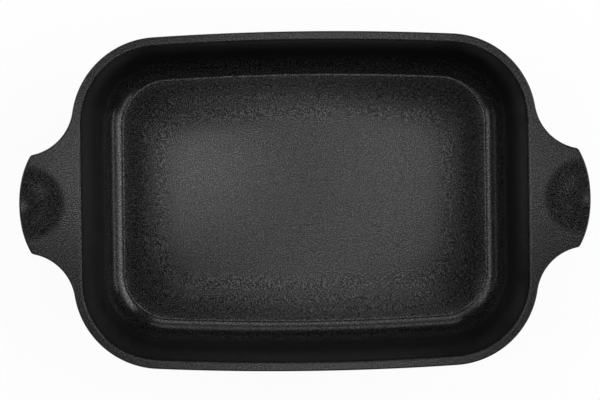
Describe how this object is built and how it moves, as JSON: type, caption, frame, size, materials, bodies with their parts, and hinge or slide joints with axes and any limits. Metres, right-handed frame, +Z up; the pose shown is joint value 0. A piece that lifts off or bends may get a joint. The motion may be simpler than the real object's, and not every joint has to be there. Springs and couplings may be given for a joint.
{
  "type": "roasting pan",
  "caption": "Open rectangular cast roasting pan with bowed sides, round corners, a flat rim, ear handles with thumb scoops, and perforated steel discs let into its base.",
  "frame": {"origin": "middle of the pan in plan, on the surface that the pan stands on", "axes": "+X along the pan's length through both ear handles, +Y across it, +Z up out of the open hollow"},
  "size_m": [0.4492, 0.2664, 0.087],
  "materials": {
    "coated_casting": "satin",
    "disc_steel": "satin"
  },
  "bodies": {
    "root": {"pan_casting": "coated_casting", "left_induction_disc": "disc_steel", "right_induction_disc": "disc_steel"}
  },
  "joints": []
}
